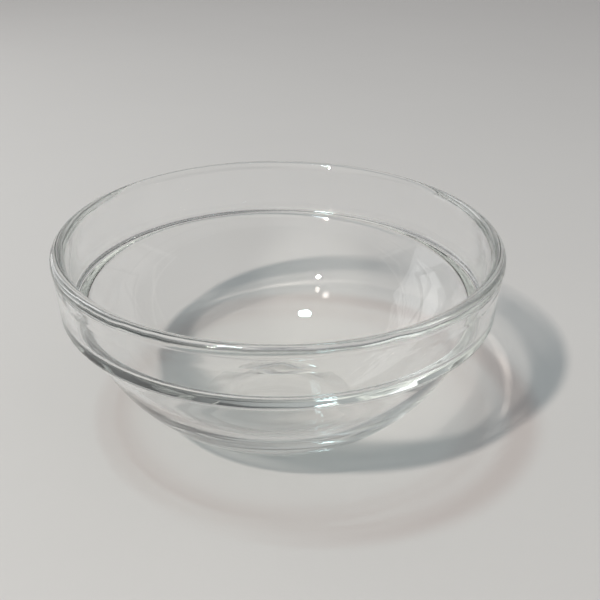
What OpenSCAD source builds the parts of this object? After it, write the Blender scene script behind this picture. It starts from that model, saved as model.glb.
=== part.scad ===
// Stackable prep bowl of clear pressed glass, one piece. Millimetres, +Z up, origin at the base centre.

/* [Rim] */
// Outside diameter over the rim bead
rim_d = 105; // [96:0.5:118]
// Height from the table to the top of the rim
bowl_h = 47; // [42:0.5:54]
// Thickness of the rim bead
rim_t = 3.4; // [3:0.1:4.2]
// How far the bead stands out past the collar
bead_proud = 0.1; // [0.05:0.05:0.4]
// Radius of the hollow under the bead
bead_hollow_r = 0.6; // [0.4:0.1:1.5]

/* [Collar] */
// Drop from the rim top to the underside of the shoulder
shoulder_drop = 15; // [13:0.2:17]
// Rise from the underside of the shoulder to the ledge inside
ledge_rise = 1.4; // [1.2:0.1:2.6]
// Draft of the outer face, degrees
draft_out = 4.9; // [3:0.1:6]
// Draft of the inner face, degrees
draft_in = 4.5; // [3:0.1:6]
// Radius of the lower outside edge of the shoulder
shoulder_r = 1.1; // [0.6:0.1:1.4]
// Radius in the corner where the ledge meets the collar
ledge_corner_r = 1.7; // [1.2:0.1:2.2]
// Width of the flat on the ledge, between its two roundings
ledge_flat = 0.2; // [0.1:0.1:1]
// Radius of the lip where the ledge turns down into the basin
ledge_lip_r = 1.4; // [0.8:0.1:2]

/* [Basin] */
// Radius of the corner under the shoulder
neck_corner_r = 0.6; // [0.4:0.1:1]
// Thickness of the basin wall at the neck, measured level
wall_t = 3; // [2.4:0.1:3.6]
// Draft of the basin wall inside, degrees
draft_basin = 23; // [20:0.5:26]
// Thickness of the base from the table to the inner floor
base_t = 4.2; // [3.4:0.1:5.2]
// Radius of the blend from the inner floor to the basin wall
floor_blend_r = 36; // [28:0.5:38]

/* [Foot] */
// Diameter where the basin meets the table plane
foot_d = 40.6; // [37:0.2:45]
// Radius of the foot's outer edge
foot_edge_r = 1.6; // [0.8:0.1:2.2]
// Inside diameter of the bearing ring
ring_in_d = 32; // [27:0.5:33]
// Depth of the hollow inside the ring, at its centre
hollow_d = 0.6; // [0.4:0.1:1.2]

/* [Hidden] */
$fn = 180;
glass_tint = [0.80, 0.88, 0.87, 0.55];

// A rounding arc's radius is larger by this much, so that it crosses the two faces.
overrun = 0.003;
// How far a corner patch reaches into or out of the glass behind the corner
patch_reach = 0.3;
// How far a cut runs past the glass that it opens
clear = 5;

// Heights
shoulder_z = bowl_h - shoulder_drop;
ledge_z = shoulder_z + ledge_rise;

// Rim bead
bead_r = rim_t / 2;
bead_at = [rim_d / 2 - bead_r, bowl_h - bead_r];

// Collar faces, each given by a point near the bead and the way up along the face
up_out = [sin(draft_out), cos(draft_out)];
up_in = [sin(draft_in), cos(draft_in)];
face_out_at = [rim_d / 2 - bead_proud, bead_at.y];
face_in_at = bead_at + (bead_r - overrun) * [-cos(draft_in), sin(draft_in)];
collar_out_low = at_height(face_out_at, up_out, shoulder_z);
collar_in_low = at_height(face_in_at, up_in, ledge_z);
collar_in_top = at_height(face_in_at, up_in, bowl_h + clear);

// Basin wall inside, a cone that starts at the ledge's lip
up_wall = [sin(draft_basin), cos(draft_basin)];
ledge_run = corner_run(draft_in, ledge_corner_r) + ledge_flat + corner_run(draft_basin, ledge_lip_r);
lip_corner = collar_in_low - [ledge_run, 0];
floor_corner = at_height(lip_corner, up_wall, base_t);
wall_top = at_height(lip_corner, up_wall, ledge_z + patch_reach);

// Outside, the basin is a ball through the neck and the foot, with its centre on the axis.
neck_r = at_height(lip_corner, up_wall, shoulder_z).x + wall_t;
foot_r = foot_d / 2;
ball_z = (neck_r * neck_r + shoulder_z * shoulder_z - foot_r * foot_r) / (2 * shoulder_z);
ball_r = norm([foot_r, ball_z]);
ball_at = [0, ball_z];
hollow_r = (ring_in_d * ring_in_d / 4 + hollow_d * hollow_d) / (2 * hollow_d);

function unit(v) = v / norm(v);

// Point on a line at a given height
function at_height(p, way, z) = p + way * (z - p.y) / way.y;

// Length that a rounding takes off a level face, at its corner with a drafted one
function corner_run(draft, r) = r / tan(45 + draft / 2);

// Where a level line crosses a ball on the axis
function on_ball(r, z) = [sqrt(r * r - (z - ball_z) * (z - ball_z)), z];

// Point on a line, down from p, at a given distance from c
function at_distance(p, way, c, d) =
    let (along = (c - p) * way)
    let (off = norm(c - p - along * way))
    p + way * (along + sqrt(d * d - off * off));

// Area between a corner and the arc that rounds it. The points a and b are where the arc meets the faces.
module corner_patch(centre, r, a, corner, b) {
    grow = 1 + patch_reach / r;
    difference() {
        polygon([
            centre,
            centre + grow * (a - centre),
            centre + grow * (corner - centre),
            centre + grow * (b - centre)
        ]);
        translate(centre) circle(r = r + overrun);
    }
}

// Corner of two straight faces that leave it along two unit ways
module straight_corner(corner, way_a, way_b, r) {
    half = acos(way_a * way_b) / 2;
    centre = corner + unit(way_a + way_b) * r / sin(half);
    run = r / tan(half);
    corner_patch(centre, r, corner + way_a * run, corner, corner + way_b * run);
}

// Corner of a level face and the ball. The arc's centre is at height arc_z, inside or outside the ball.
module ball_corner(z, arc_z, r, inside) {
    centre = on_ball(inside ? ball_r - r : ball_r + r, arc_z);
    corner_patch(centre, r, [centre.x, z], on_ball(ball_r, z), ball_at + ball_r * unit(centre - ball_at));
}

// The collar's outer wall stands on the shoulder, over the basin.
module outside() {
    polygon([
        [0, shoulder_z],
        collar_out_low,
        face_out_at,
        [0, bead_at.y]
    ]);
    intersection() {
        translate(ball_at) circle(r = ball_r);
        square([rim_d, shoulder_z + patch_reach]);
    }
}

// Room inside: collar down to the ledge, then basin down to the floor, with its hollow corners filled
module inside() {
    difference() {
        union() {
            polygon([
                [-clear, ledge_z],
                collar_in_low,
                collar_in_top,
                [-clear, bowl_h + clear]
            ]);
            polygon([
                [-clear, base_t],
                floor_corner,
                wall_top,
                [-clear, wall_top.y]
            ]);
        }
        straight_corner(collar_in_low, [-1, 0], up_in, ledge_corner_r);
        straight_corner(floor_corner, [-1, 0], up_wall, floor_blend_r);
    }
}

// Shallow hollow under the base
module foot_hollow() {
    intersection() {
        translate([0, hollow_d - hollow_r]) circle(r = hollow_r);
        translate([-clear, -clear]) square([rim_d, 2 * clear]);
    }
}

module rim_bead() {
    out_of_face = bead_hollow_r * [cos(draft_out), -sin(draft_out)];
    hollow_at = at_distance(face_out_at + out_of_face, -up_out, bead_at, bead_r + bead_hollow_r);
    face_point = hollow_at - out_of_face;
    bead_point = bead_at + bead_r * unit(hollow_at - bead_at);
    corner = at_distance(face_out_at, -up_out, bead_at, bead_r);
    translate(bead_at) circle(r = bead_r);
    corner_patch(hollow_at, bead_hollow_r, bead_point, corner, face_point);
}

// Blend that fills the corner under the shoulder
module neck_fill() {
    ball_corner(shoulder_z, shoulder_z - neck_corner_r, neck_corner_r, false);
}

// Roundings that take the sharp edges off
module roundings() {
    straight_corner(collar_out_low, [-1, 0], up_out, shoulder_r);
    straight_corner(lip_corner, [1, 0], -up_wall, ledge_lip_r);
    ball_corner(0, foot_edge_r, foot_edge_r, true);
}

module profile() {
    difference() {
        union() {
            difference() {
                outside();
                inside();
                foot_hollow();
            }
            rim_bead();
            neck_fill();
        }
        roundings();
    }
}

module bowl() {
    color(glass_tint) rotate_extrude() profile();
}

bowl();
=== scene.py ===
import math

import bpy
from bpy.props import FloatProperty, FloatVectorProperty, IntProperty, PointerProperty
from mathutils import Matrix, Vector


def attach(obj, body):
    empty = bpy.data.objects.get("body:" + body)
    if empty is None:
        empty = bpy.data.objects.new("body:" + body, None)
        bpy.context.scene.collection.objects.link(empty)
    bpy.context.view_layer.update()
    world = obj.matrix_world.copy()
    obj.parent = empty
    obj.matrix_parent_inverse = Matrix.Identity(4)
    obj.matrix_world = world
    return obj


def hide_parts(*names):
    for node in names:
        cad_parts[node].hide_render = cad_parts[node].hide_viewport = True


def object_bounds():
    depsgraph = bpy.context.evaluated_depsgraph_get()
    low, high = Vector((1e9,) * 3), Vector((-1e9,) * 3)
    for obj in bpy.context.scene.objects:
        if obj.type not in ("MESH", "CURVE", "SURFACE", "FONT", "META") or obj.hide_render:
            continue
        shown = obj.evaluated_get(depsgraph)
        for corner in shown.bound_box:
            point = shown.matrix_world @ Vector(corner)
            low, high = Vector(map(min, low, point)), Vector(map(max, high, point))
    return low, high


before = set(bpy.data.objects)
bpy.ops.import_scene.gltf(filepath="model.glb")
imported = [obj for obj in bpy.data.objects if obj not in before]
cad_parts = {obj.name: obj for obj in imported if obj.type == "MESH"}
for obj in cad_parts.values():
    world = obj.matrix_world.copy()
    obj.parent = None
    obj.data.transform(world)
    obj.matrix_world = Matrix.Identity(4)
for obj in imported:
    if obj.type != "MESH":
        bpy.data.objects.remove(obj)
CAD_LOW, CAD_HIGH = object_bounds()

bl_info = {
    "name": "Prep Bowl",
    "version": (1, 0, 0),
    "blender": (4, 5, 0),
    "location": "View3D > Sidebar > Prep Bowl",
    "description": "Makes a stackable prep bowl of clear pressed glass and the table it stands on",
    "category": "Add Mesh",
}

MM = 0.001
UP = (0.0, 0.0, 1.0)

# Points of the profile nearer than this are one point.
SAME_POINT = 0.001 * MM
# Largest gap between a facet and a small arc, as a share of the arc's radius
FACET_SHARE = 0.05

# Sockets of the colour mix
MIX_FIRST = 6
MIX_SECOND = 7
MIX_RESULT = 2

SENSOR_WIDTH = 36.0
NEAR_CLIP = 10 * MM
ALL_BOUNCES = 40
GLASS_BOUNCES = 32


def length(name, description, default_mm):
    """A length property, with its default given in millimetres."""
    return FloatProperty(
        name=name,
        description=description,
        default=default_mm * MM,
        min=0.0,
        unit="LENGTH",
        subtype="DISTANCE",
    )


def heights(name, description, default_mm):
    """Two heights over the table, with their defaults given in millimetres."""
    return FloatVectorProperty(
        name=name,
        description=description,
        default=[h * MM for h in default_mm],
        size=2,
        unit="LENGTH",
    )


def angle(name, description, default_deg):
    """An angle property, with its default given in degrees."""
    return FloatProperty(
        name=name,
        description=description,
        default=math.radians(default_deg),
        unit="ROTATION",
        subtype="ANGLE",
    )


def number(name, description, default):
    """A plain number."""
    return FloatProperty(name=name, description=description, default=default, min=0.0)


def fraction(name, description, default):
    """A number from 0 to 1."""
    return FloatProperty(
        name=name, description=description, default=default, min=0.0, max=1.0, subtype="FACTOR"
    )


def watts(name, description, default):
    """A lamp's power."""
    return FloatProperty(name=name, description=description, default=default, min=0.0, unit="POWER")


def limits(name, description, default):
    """Two plain numbers: where a share starts and where it is full."""
    return FloatVectorProperty(name=name, description=description, default=default, size=2)


def colour(name, description, default):
    """A colour, as linear red, green and blue."""
    return FloatVectorProperty(
        name=name, description=description, default=default, size=3, min=0.0, max=1.0, subtype="COLOR"
    )


def place(name, description, default_mm):
    """A place in the scene, with its default given in millimetres."""
    return FloatVectorProperty(
        name=name,
        description=description,
        default=[c * MM for c in default_mm],
        size=3,
        unit="LENGTH",
        subtype="TRANSLATION",
    )


def heading(name, description, default):
    """A way in the scene."""
    return FloatVectorProperty(
        name=name, description=description, default=default, size=3, subtype="DIRECTION"
    )


class PrepBowlSizes(bpy.types.PropertyGroup):
    """Sizes of the bowl's profile, from the rim to the foot"""

    rim_r: length("Rim radius", "Outside radius over the rim bead", CAD_HIGH.x / MM)
    bowl_h: length("Height", "From the table to the top of the rim", CAD_HIGH.z / MM)
    rim_t: length("Bead thickness", "Thickness of the rim bead", 3.4)
    bead_proud: length("Bead step", "How far the bead stands out past the collar", 0.1)
    bead_hollow_r: length("Bead hollow", "Radius of the hollow under the bead", 0.6)
    shoulder_drop: length("Shoulder drop", "From the rim top to the underside of the shoulder", 15.0)
    ledge_rise: length("Ledge rise", "From the underside of the shoulder to the ledge inside", 1.4)
    draft_out: angle("Outer draft", "Draft of the collar's outer face", 4.9)
    draft_in: angle("Inner draft", "Draft of the collar's inner face", 4.5)
    shoulder_r: length("Shoulder edge", "Radius of the shoulder's lower edge", 1.1)
    ledge_corner_r: length("Ledge corner", "Radius where the ledge meets the collar", 1.7)
    ledge_flat: length("Ledge flat", "Width of the flat between the ledge's two roundings", 0.2)
    ledge_lip_r: length("Ledge lip", "Radius where the ledge turns down into the basin", 1.4)
    neck_corner_r: length("Neck corner", "Radius of the corner under the shoulder", 0.6)
    wall_t: length("Wall", "Thickness of the basin wall at the neck, measured level", 3.0)
    draft_basin: angle("Basin draft", "Draft of the basin wall inside", 23.0)
    base_t: length("Base", "From the table to the inner floor", 4.2)
    floor_blend_r: length("Floor blend", "Radius of the blend from the floor to the wall", 36.0)
    foot_r: length("Foot radius", "Radius where the basin meets the table plane", 20.3)
    foot_edge_r: length("Foot edge", "Radius of the foot's outer edge", 1.6)
    ring_in_r: length("Ring radius", "Inside radius of the bearing ring", 16.0)
    hollow_d: length("Foot hollow", "Depth of the hollow inside the bearing ring", 0.6)
    facet_error: length("Facet error", "Largest gap between a facet and the true curve", 0.004)
    turns: IntProperty(name="Segments", description="Segments round the axis", default=288, min=24)


class PrepBowlGlass(bpy.types.PropertyGroup):
    """Finish of the pressed glass"""

    tint: colour("Tint", "Colour of the glass surface", (1.0, 1.0, 1.0))
    body_colour: colour("Body colour", "Colour that light takes on inside thick glass", (0.70, 0.80, 0.77))
    body_density: number("Body density", "How fast light takes on the body colour", 4.0)
    refraction: number("Refractive index", "Index of the glass", 1.52)
    polish: fraction("Polish", "Roughness of the fire polished surface", 0.0)

    smudge: fraction("Smudge", "Extra roughness where the glass has been handled", 0.03)
    smudge_tint: colour("Smudge tint", "Colour where fingers have touched the glass", (0.985, 0.985, 0.98))
    smudge_scale: number("Smudge scale", "How many smudges lie on a metre", 38.0)
    smudge_limits: limits("Smudge limits", "Noise where a smudge starts and where it is full", (0.52, 0.72))

    ripple_height: length("Ripple height", "Height of the pressing ripples", 0.02)
    ripple_scale: number("Ripple scale", "How many ripples lie on a metre", 70.0)
    rim_ripple: number("Rim ripple", "How many times higher the ripples of the rim bead are", 13.0)
    rim_ripple_scale: number("Rim ripple scale", "How many ripples lie on a metre of the rim bead", 110.0)
    rim_heights: heights("Rim heights", "Where the rim's ripples start and are full", (41.5, 44.5))

    # Painted shade: colours that darken the glass only for the light it lets fall on the table
    wall_shade: colour("Wall shade", "What the wall leaves of falling light", (0.80, 0.80, 0.80))
    wall_heights: heights("Wall heights", "Where the wall's shade starts and is full", (14.0, 26.0))
    wall_loss: fraction("Wall loss", "Share of straight light that the wall takes", 0.14)
    edge_loss: fraction("Edge loss", "Share of straight light that glass on edge takes", 0.9)
    edge_power: number("Edge power", "How fast the edge loss falls off", 4.0)
    collar_shade: colour("Collar shade", "What the collar leaves of falling light", (0.34, 0.34, 0.34))
    collar_heights: heights("Collar heights", "Where the collar's shade starts and is full", (29.0, 32.5))
    collar_loss: fraction("Collar loss", "Share of straight light that the steep collar takes", 0.95)
    steep_limits: limits("Steep limits", "How steep the collar's loss starts and is full", (0.05, 0.70))


class PrepBowlStage(bpy.types.PropertyGroup):
    """Table, light and camera"""

    table_side: length("Table side", "Side of the square table top", 3000.0)
    table_gap: length("Table gap", "Air between the table and the foot's flat", 0.1)
    table_colour: colour("Table colour", "Colour of the pale table", (0.64, 0.62, 0.60))
    table_roughness: fraction("Table roughness", "Roughness of the table's paint", 0.62)
    table_gloss: fraction("Table gloss", "How much of the light the paint mirrors", 0.3)
    table_cloud: colour("Cloud colour", "Colour of the faint clouds in the paint", (0.61, 0.59, 0.572))
    cloud_scale: number("Cloud scale", "How many clouds lie on a metre", 9.0)
    cloud_roughness: fraction("Cloud roughness", "Extra roughness where the paint is clouded", 0.1)
    table_tooth: length("Table tooth", "Height of the grain in the table's paint", 0.05)
    tooth_scale: number("Tooth scale", "How many grains lie on a metre", 1400.0)
    tooth_strength: fraction("Tooth strength", "How much of the grain shows", 0.3)

    key_place: place("Key lamp place", "Where the lamp at the front left is", (-640.0, -835.0, 1150.0))
    key_colour: colour("Key lamp colour", "Colour of the lamp at the front left", (1.0, 0.92, 0.86))
    key_power: watts("Key lamp power", "Power of the lamp at the front left", 15.2)
    key_width: length("Key lamp width", "Diameter of the lamp at the front left", 86.0)
    top_place: place("Top lamp place", "Where the lamp overhead is", (-200.0, -54.0, 900.0))
    top_colour: colour("Top lamp colour", "Colour of the lamp overhead", (0.66, 0.92, 0.97))
    top_power: watts("Top lamp power", "Power of the lamp overhead", 1.75)
    top_width: length("Top lamp width", "Diameter of the lamp overhead", 100.0)
    side_place: place("Side window place", "Where the window at the back left is", (-430.0, 250.0, 150.0))
    side_colour: colour("Side window colour", "Colour of the window at the back left", (1.0, 1.0, 1.0))
    side_power: watts("Side window power", "Power of the window at the back left", 0.45)
    side_width: length("Side window width", "Width of the window at the back left", 360.0)
    side_height: length("Side window height", "Height of the window at the back left", 280.0)

    fill_colour: colour("Fill colour", "Colour of the room's even light on the table", (0.31, 0.31, 0.328))
    ground_colour: colour("Ground colour", "Colour of the ground behind the table", (0.50, 0.495, 0.48))
    ground_limits: limits("Ground limits", "Rise where the ground ends", (0.14, 0.22))
    low_colour: colour("Low wall colour", "Colour of the room's lower walls", (0.012, 0.012, 0.013))
    low_limits: limits("Low wall limits", "Rise where the lower walls end", (0.28, 0.60))
    dim_colour: colour("Dim wall colour", "Colour of the room's dim side", (0.08, 0.08, 0.085))
    wall_colour: colour("Pale wall colour", "Colour of the room's pale side", (0.46, 0.46, 0.46))
    wall_way: heading("Pale wall way", "Where the room's pale side is", (-0.80, 0.60, 0.0))
    wall_limits: limits("Pale wall limits", "Cosines where the pale side starts and is full", (-0.3, 0.6))
    window_colour: colour("Window colour", "Colour of the room's window", (1.0, 0.98, 0.91))
    window_way: heading("Window way", "Where the room's window is", (-0.36, -0.62, 0.70))
    window_limits: limits("Window limits", "Cosines where the window starts and is full", (0.75, 0.95))

    lens: FloatProperty(name="Lens", description="Focal length", default=58.9, min=1.0, unit="CAMERA")
    camera_place: place("Camera place", "Where the camera is", (0.0, -210.0, 140.5))
    camera_tilt: angle("Camera tilt", "How far the camera looks down", 27.77)
    camera_shift: fraction("Camera shift", "Sideways shift of the picture, as a share of its width", 0.037)


class Outline:
    """Points of a profile of arcs and straight lines, and the way that the surface faces at each."""

    def __init__(self, facet_error):
        self.facet_error = facet_error
        self.points = []
        self.facing = []

    def arc(self, centre, radius, start, end, hollow=False):
        """Adds an arc between two angles in radians. The surface of a hollow arc faces its centre."""
        step = 2 * math.acos(1 - min(self.facet_error / radius, FACET_SHARE))
        count = max(2, math.ceil(abs(end - start) / step))
        sign = -1 if hollow else 1
        for i in range(count + 1):
            turn = start + (end - start) * i / count
            way = Vector((math.cos(turn), math.sin(turn)))
            point = centre + radius * way
            if self.points and (point - self.points[-1]).length < SAME_POINT:
                continue
            self.points.append(point)
            self.facing.append(sign * way)

    def on_axis(self, height, facing):
        """Adds a point on the axis."""
        self.points.append(Vector((0.0, height)))
        self.facing.append(Vector((0.0, facing)))


def bearing(start, end):
    """Angle of the way from one point to another."""
    return math.atan2(end.y - start.y, end.x - start.x)


def at_height(point, way, height):
    """Point on a line at a given height."""
    return point + way * ((height - point.y) / way.y)


def leaning(draft):
    """Way up along a face that leans out by its draft."""
    return Vector((math.sin(draft), math.cos(draft)))


def corner_centre(corner, way_a, way_b, radius):
    """Centre of the arc that rounds the corner of two straight faces, which leave it along two ways."""
    half = way_a.angle(way_b) / 2
    return corner + (way_a + way_b).normalized() * (radius / math.sin(half))


def corner_run(draft, radius):
    """Length that a rounding takes off a level face, at its corner with a drafted one."""
    return radius / math.tan(math.radians(45) + draft / 2)


def beside_ball(ball, distance, height):
    """Point at a height and at a distance from the ball's centre, out from the axis."""
    return Vector((math.sqrt(distance**2 - (height - ball.y) ** 2), height))


def bowl_outline(s):
    """Profile of the bowl from the axis under the base, up the outside and down the inside to the floor."""
    up, down, back = math.radians(90), math.radians(-90), math.radians(180)
    inward, outward = Vector((-1.0, 0.0)), Vector((1.0, 0.0))
    shoulder_z = s.bowl_h - s.shoulder_drop
    ledge_z = shoulder_z + s.ledge_rise
    bead_r = s.rim_t / 2
    bead = Vector((s.rim_r - bead_r, s.bowl_h - bead_r))

    # Collar faces and their lower corners
    up_out = leaning(s.draft_out)
    up_in = leaning(s.draft_in)
    face_out = Vector((s.rim_r - s.bead_proud, bead.y))
    face_in = bead + bead_r * Vector((-up_in.y, up_in.x))
    collar_out_low = at_height(face_out, up_out, shoulder_z)
    collar_in_low = at_height(face_in, up_in, ledge_z)

    # Inside, the basin wall is a cone that starts at the ledge's lip.
    up_wall = leaning(s.draft_basin)
    corner_part = corner_run(s.draft_in, s.ledge_corner_r)
    lip_part = corner_run(s.draft_basin, s.ledge_lip_r)
    lip_corner = collar_in_low + (corner_part + s.ledge_flat + lip_part) * inward
    floor_corner = at_height(lip_corner, up_wall, s.base_t)

    # Outside, it is a ball through the neck and the foot, with its centre on the axis.
    neck_r = at_height(lip_corner, up_wall, shoulder_z).x + s.wall_t
    ball_z = (neck_r**2 + shoulder_z**2 - s.foot_r**2) / (2 * shoulder_z)
    ball = Vector((0.0, ball_z))
    ball_r = math.hypot(s.foot_r, ball_z)

    # The hollow under the bead touches the collar's face and the bead.
    beside_face = face_out + s.bead_hollow_r * Vector((up_out.y, -up_out.x))
    along = (bead - beside_face).dot(-up_out)
    off = (bead - beside_face + along * up_out).length
    bead_hollow = beside_face - up_out * (along + math.sqrt((bead_r + s.bead_hollow_r) ** 2 - off**2))

    # Centres of the other arcs
    shoulder = corner_centre(collar_out_low, inward, up_out, s.shoulder_r)
    ledge_corner = corner_centre(collar_in_low, inward, up_in, s.ledge_corner_r)
    lip = corner_centre(lip_corner, outward, -up_wall, s.ledge_lip_r)
    floor = corner_centre(floor_corner, inward, up_wall, s.floor_blend_r)
    foot_edge = beside_ball(ball, ball_r - s.foot_edge_r, s.foot_edge_r)
    neck = beside_ball(ball, ball_r + s.neck_corner_r, shoulder_z - s.neck_corner_r)
    hollow_r = (s.ring_in_r**2 + s.hollow_d**2) / (2 * s.hollow_d)
    hollow = Vector((0.0, s.hollow_d - hollow_r))

    line = Outline(s.facet_error)
    line.arc(hollow, hollow_r, up, math.acos(s.ring_in_r / hollow_r), hollow=True)
    line.arc(foot_edge, s.foot_edge_r, down, bearing(ball, foot_edge))
    line.arc(ball, ball_r, bearing(ball, foot_edge), bearing(ball, neck))
    line.arc(neck, s.neck_corner_r, bearing(ball, neck) + back, up, hollow=True)
    line.arc(shoulder, s.shoulder_r, down, -s.draft_out)
    line.arc(bead_hollow, s.bead_hollow_r, back - s.draft_out, bearing(bead_hollow, bead), hollow=True)
    line.arc(bead, bead_r, bearing(bead, bead_hollow), back - s.draft_in)
    line.arc(ledge_corner, s.ledge_corner_r, -s.draft_in, down, hollow=True)
    line.arc(lip, s.ledge_lip_r, up, back - s.draft_basin)
    line.arc(floor, s.floor_blend_r, -s.draft_basin, down, hollow=True)
    line.on_axis(s.base_t, 1.0)
    return line


def turned_mesh(name, line, turns):
    """Turns a profile that starts and ends on the axis into a closed mesh with true normals."""
    rings = range(1, len(line.points) - 1)
    spin = [(math.cos(a), math.sin(a)) for a in (2 * math.pi * i / turns for i in range(turns))]
    verts = [(0.0, 0.0, line.points[0].y), (0.0, 0.0, line.points[-1].y)]
    normals = [(0.0, 0.0, -1.0), (0.0, 0.0, 1.0)]
    first = len(verts)
    last = first + (len(rings) - 1) * turns
    for k in rings:
        point, facing = line.points[k], line.facing[k]
        verts += [(point.x * c, point.x * s, point.y) for c, s in spin]
        normals += [(facing.x * c, facing.x * s, facing.y) for c, s in spin]
    faces = []
    for i in range(turns):
        j = (i + 1) % turns
        faces.append((0, first + j, first + i))
        for low in range(first, last, turns):
            high = low + turns
            faces.append((low + i, low + j, high + j, high + i))
        faces.append((last + i, last + j, 1))
    mesh = bpy.data.meshes.new(name)
    mesh.from_pydata(verts, [], faces)
    mesh.validate()
    mesh.shade_smooth()
    mesh.normals_split_custom_set_from_vertices(normals)
    return mesh


class Socket:
    """A node's output that can be used in sums."""

    def __init__(self, tree, output):
        self.tree = tree
        self.output = output

    def _math(self, operation, first, second):
        return self.tree.node("ShaderNodeMath", {"operation": operation}, {0: first, 1: second})

    def __add__(self, other):
        return self._math("ADD", self, other)

    def __radd__(self, other):
        return self._math("ADD", other, self)

    def __sub__(self, other):
        return self._math("SUBTRACT", self, other)

    def __rsub__(self, other):
        return self._math("SUBTRACT", other, self)

    def __mul__(self, other):
        return self._math("MULTIPLY", self, other)

    def __rmul__(self, other):
        return self._math("MULTIPLY", other, self)

    def __pow__(self, other):
        return self._math("POWER", self, other)


class Nodes:
    """Adds nodes to a material's or a world's node tree."""

    def __init__(self, owner):
        owner.use_nodes = True
        self.tree = owner.node_tree
        self.tree.nodes.clear()

    def node(self, kind, settings=None, inputs=None, out=0):
        """Adds one node, sets its settings, then its sockets, and gives one of its outputs."""
        made = self.tree.nodes.new(kind)
        for name, value in (settings or {}).items():
            setattr(made, name, value)
        for name, value in (inputs or {}).items():
            if isinstance(value, Socket):
                self.tree.links.new(value.output, made.inputs[name])
            else:
                made.inputs[name].default_value = value
        return Socket(self, made.outputs[out]) if made.outputs else None

    def light_path(self, ray):
        """Tells a kind of ray from the others, such as Is Shadow Ray."""
        return self.node("ShaderNodeLightPath", out=ray)

    def noise(self, spot, scale, detail, roughness=0.5):
        """Noise in space."""
        inputs = {"Vector": spot, "Scale": scale, "Detail": detail, "Roughness": roughness}
        return self.node("ShaderNodeTexNoise", {}, inputs)

    def ramp(self, value, ends, kind="SMOOTHSTEP"):
        """Share that goes from 0 to 1 between two values."""
        start, end = ends
        inputs = {"Value": value, "From Min": start, "From Max": end}
        return self.node("ShaderNodeMapRange", {"interpolation_type": kind}, inputs)

    def mix(self, share, first, second):
        """Colour between two others, each a socket or a plain colour."""
        first, second = (c if isinstance(c, Socket) else (*c, 1.0) for c in (first, second))
        inputs = {"Factor": share, MIX_FIRST: first, MIX_SECOND: second}
        return self.node("ShaderNodeMix", {"data_type": "RGBA"}, inputs, out=MIX_RESULT)

    def bump(self, height, distance, strength=1.0):
        """Normal of a surface with a small relief."""
        inputs = {"Height": height, "Strength": strength, "Distance": distance}
        return self.node("ShaderNodeBump", {}, inputs)


def glass_material(finish):
    """Clear pressed glass: fire polished, a little rippled, with faint smudges and a grey-green body."""
    material = bpy.data.materials.new("pressed_glass")
    tree = Nodes(material)
    spot = tree.node("ShaderNodeTexCoord", out="Object")
    height = tree.node("ShaderNodeSeparateXYZ", {}, {"Vector": spot}, out="Z")
    on_wall = tree.ramp(height, finish.wall_heights)
    on_collar = tree.ramp(height, finish.collar_heights, "LINEAR")
    on_rim = tree.ramp(height, finish.rim_heights, "LINEAR")

    # Ripples of the pressing, stronger on the rim bead, and smudges
    ripple = tree.noise(spot, finish.ripple_scale, detail=1.0)
    rim_ripple = tree.noise(spot, finish.rim_ripple_scale, detail=1.0)
    relief = tree.bump(ripple + finish.rim_ripple * on_rim * rim_ripple, finish.ripple_height)
    smudges = tree.noise(spot, finish.smudge_scale, detail=5.0, roughness=0.65)
    touched = tree.ramp(smudges, finish.smudge_limits)

    # Painted shade: only for the light that falls through to the table, the glass's colour is darkened on
    # the wall and more on the collar, deepening their shadow there. The smudge tint is the glass's own.
    falling = tree.light_path("Is Diffuse Ray")
    smudges_and_painted_shade = tree.mix(touched, finish.tint, finish.smudge_tint)
    smudges_and_painted_shade = tree.mix(falling * on_wall, smudges_and_painted_shade, finish.wall_shade)
    smudges_and_painted_shade = tree.mix(falling * on_collar, smudges_and_painted_shade, finish.collar_shade)
    glass = tree.node(
        "ShaderNodeBsdfPrincipled",
        {},
        {
            "Base Color": smudges_and_painted_shade,
            "Roughness": finish.polish + finish.smudge * touched,
            "Normal": relief,
            "IOR": finish.refraction,
            "Transmission Weight": 1.0,
        },
    )

    # Shadow rays go straight through, and lose most where the glass is on edge.
    shadow = tree.light_path("Is Shadow Ray")
    on_edge = tree.node("ShaderNodeLayerWeight", {}, {"Blend": 0.5}, out="Facing")
    wall_loss = finish.wall_loss * on_wall
    basin_loss = wall_loss + (finish.edge_loss - wall_loss) * on_edge**finish.edge_power
    collar_loss = finish.collar_loss * tree.ramp(on_edge, finish.steep_limits)
    let_through = 1.0 - basin_loss - on_collar * (collar_loss - basin_loss)
    clear = tree.node("ShaderNodeBsdfTransparent", {}, {"Color": (1.0, 1.0, 1.0, 1.0)})
    shaded = tree.node("ShaderNodeMixShader", {}, {0: shadow * let_through, 1: glass, 2: clear})
    surface = tree.node("ShaderNodeMixShader", {}, {0: shadow, 1: glass, 2: shaded})

    body_inputs = {"Color": (*finish.body_colour, 1.0), "Density": finish.body_density}
    body = tree.node("ShaderNodeVolumeAbsorption", {}, body_inputs)
    tree.node("ShaderNodeOutputMaterial", {}, {"Surface": surface, "Volume": body})
    return material


def table_material(stage):
    """Pale matt table paint with faint clouds and a fine tooth."""
    material = bpy.data.materials.new("pale_table")
    tree = Nodes(material)
    spot = tree.node("ShaderNodeTexCoord", out="Object")
    cloud = tree.noise(spot, stage.cloud_scale, detail=3.0, roughness=0.55)
    grain = tree.noise(spot, stage.tooth_scale, detail=2.0)
    surface = tree.node(
        "ShaderNodeBsdfPrincipled",
        {},
        {
            "Base Color": tree.mix(cloud, stage.table_colour, stage.table_cloud),
            "Roughness": stage.table_roughness + stage.cloud_roughness * cloud,
            "Normal": tree.bump(grain, stage.table_tooth, stage.tooth_strength),
            "Specular IOR Level": stage.table_gloss,
        },
    )
    tree.node("ShaderNodeOutputMaterial", {}, {"Surface": surface})
    return material


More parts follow.
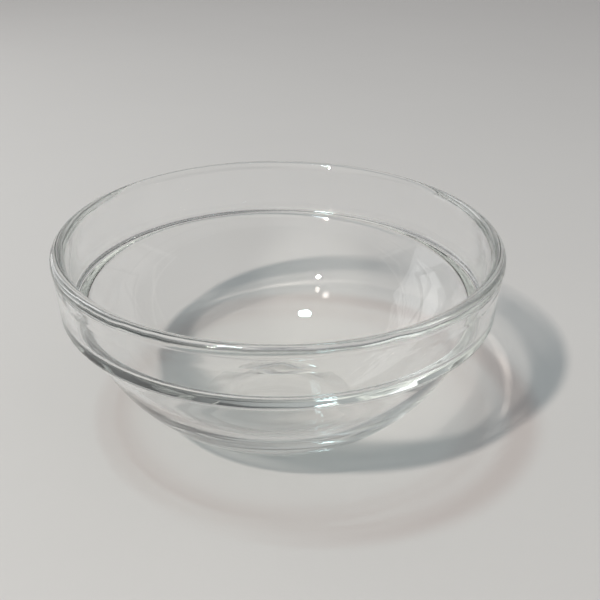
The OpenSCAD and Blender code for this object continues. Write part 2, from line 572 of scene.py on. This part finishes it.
def room_world(stage):
    """Room whose walls, ground and window show in the glass, and which lights the table evenly."""
    world = bpy.data.worlds.new("room")
    tree = Nodes(world)
    ray = tree.node("ShaderNodeTexCoord", out="Generated")

    def towards(way, cosines):
        """Share that goes from 0 to 1 as a ray turns to a way."""
        inputs = {0: ray, 1: Vector(way).normalized()}
        turned = tree.node("ShaderNodeVectorMath", {"operation": "DOT_PRODUCT"}, inputs, out="Value")
        return tree.ramp(turned, cosines)

    by_camera = tree.light_path("Is Camera Ray")
    by_gloss = tree.light_path("Is Glossy Ray")
    by_glass = tree.light_path("Is Transmission Ray")
    low = tree.mix(towards(UP, stage.ground_limits), stage.ground_colour, stage.low_colour)
    upper = tree.mix(towards(stage.wall_way, stage.wall_limits), stage.dim_colour, stage.wall_colour)
    wall = tree.mix(towards(UP, stage.low_limits), low, upper)
    room = tree.mix(towards(stage.window_way, stage.window_limits), wall, stage.window_colour)
    shows = tree.node(
        "ShaderNodeMath", {"operation": "ADD", "use_clamp": True}, {0: by_camera + by_gloss, 1: by_glass}
    )
    light = tree.mix(shows, stage.fill_colour, room)
    background = tree.node("ShaderNodeBackground", {}, {"Color": light, "Strength": 1.0})
    tree.node("ShaderNodeOutputWorld", {}, {"Surface": background})
    return world


def add_object(name, data):
    """Puts data in the scene under a name."""
    made = bpy.data.objects.new(name, data)
    bpy.context.scene.collection.objects.link(made)
    return made


def add_table(stage):
    """Adds the square table top, just under the foot."""
    half = stage.table_side / 2
    corners = ((-half, -half), (half, -half), (half, half), (-half, half))
    mesh = bpy.data.meshes.new("table")
    mesh.from_pydata([(x, y, -stage.table_gap) for x, y in corners], [], [(0, 1, 2, 3)])
    mesh.materials.append(table_material(stage))
    table = add_object("table", mesh)
    table.cycles.is_caustics_receiver = True


def add_lamp(name, spot, aim, size, power, tone):
    """Adds a soft lamp that points at a spot. It is round where its width and height are the same."""
    width, height = size
    light = bpy.data.lights.new(name, "AREA")
    light.shape = "DISK" if width == height else "RECTANGLE"
    light.size = width
    light.size_y = height
    light.energy = power
    light.color = tone
    light.cycles.is_caustics_light = True
    lamp = add_object(name, light)
    lamp.location = spot
    lamp.rotation_euler = (aim - spot).to_track_quat("-Z", "Y").to_euler()
    lamp.visible_camera = False


def add_lamps(stage):
    """Adds the lamp at the front left, the one overhead and the window at the back left."""
    bowl_middle = Vector((0.0, 0.0, CAD_HIGH.z / 2))
    key_size = (stage.key_width, stage.key_width)
    add_lamp("key_lamp", Vector(stage.key_place), bowl_middle, key_size, stage.key_power, stage.key_colour)
    top_size = (stage.top_width, stage.top_width)
    add_lamp("top_lamp", Vector(stage.top_place), bowl_middle, top_size, stage.top_power, stage.top_colour)
    side_spot = Vector(stage.side_place)
    side_size = (stage.side_width, stage.side_height)
    over_bowl = Vector((0.0, 0.0, side_spot.z))
    add_lamp("side_window", side_spot, over_bowl, side_size, stage.side_power, stage.side_colour)


def add_camera(stage):
    """Adds the camera in front of the bowl, looking down at it."""
    data = bpy.data.cameras.new("camera")
    data.lens = stage.lens
    data.sensor_width = SENSOR_WIDTH
    data.shift_x = stage.camera_shift
    data.clip_start = NEAR_CLIP
    camera = add_object("camera", data)
    camera.location = stage.camera_place
    camera.rotation_euler = (math.radians(90) - stage.camera_tilt, 0.0, 0.0)
    return camera


class PREPBOWL_OT_bowl(bpy.types.Operator):
    """Make the glass bowl"""

    bl_idname = "prepbowl.bowl"
    bl_label = "Bowl"

    def execute(self, context):
        sizes = context.scene.prepbowl_sizes
        mesh = turned_mesh("glass_bowl", bowl_outline(sizes), sizes.turns)
        mesh.materials.append(glass_material(context.scene.prepbowl_glass))
        bowl = add_object("glass_bowl", mesh)
        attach(bowl, "root")
        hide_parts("bowl")
        bowl.cycles.is_caustics_caster = True
        return {"FINISHED"}


class PREPBOWL_OT_stage(bpy.types.Operator):
    """Make the table, the lamps, the room's light and the camera"""

    bl_idname = "prepbowl.stage"
    bl_label = "Stage"

    def execute(self, context):
        scene = context.scene
        stage = scene.prepbowl_stage
        add_table(stage)
        add_lamps(stage)
        scene.world = room_world(stage)
        scene.camera = add_camera(stage)
        scene.cycles.max_bounces = ALL_BOUNCES
        scene.cycles.glossy_bounces = GLASS_BOUNCES
        scene.cycles.transmission_bounces = GLASS_BOUNCES
        scene.cycles.caustics_reflective = False
        scene.cycles.caustics_refractive = True
        scene.view_settings.view_transform = "Standard"
        return {"FINISHED"}


class PREPBOWL_PT_sidebar(bpy.types.Panel):
    """Lists the pieces and their settings"""

    bl_idname = "PREPBOWL_PT_sidebar"
    bl_label = "Prep Bowl"
    bl_space_type = "VIEW_3D"
    bl_region_type = "UI"
    bl_category = "Prep Bowl"

    def draw(self, context):
        for operator in (PREPBOWL_OT_bowl, PREPBOWL_OT_stage):
            self.layout.operator(operator.bl_idname)
        for group in GROUPS:
            box = self.layout.box()
            settings = getattr(context.scene, group)
            for name in settings.__annotations__:
                box.prop(settings, name)


GROUPS = {
    "prepbowl_sizes": PrepBowlSizes,
    "prepbowl_glass": PrepBowlGlass,
    "prepbowl_stage": PrepBowlStage,
}
CLASSES = (*GROUPS.values(), PREPBOWL_OT_bowl, PREPBOWL_OT_stage, PREPBOWL_PT_sidebar)


def register():
    """Registers the classes and hangs the settings on the scene."""
    for cls in CLASSES:
        bpy.utils.register_class(cls)
    for name, group in GROUPS.items():
        setattr(bpy.types.Scene, name, PointerProperty(type=group))


def unregister():
    """Takes the settings and the classes away again."""
    for name in GROUPS:
        delattr(bpy.types.Scene, name)
    for cls in reversed(CLASSES):
        bpy.utils.unregister_class(cls)


def main():
    """Registers the settings, then makes the stage and the bowl."""
    register()
    bpy.ops.prepbowl.stage()
    bpy.ops.prepbowl.bowl()


if __name__ == "__main__":
    main()
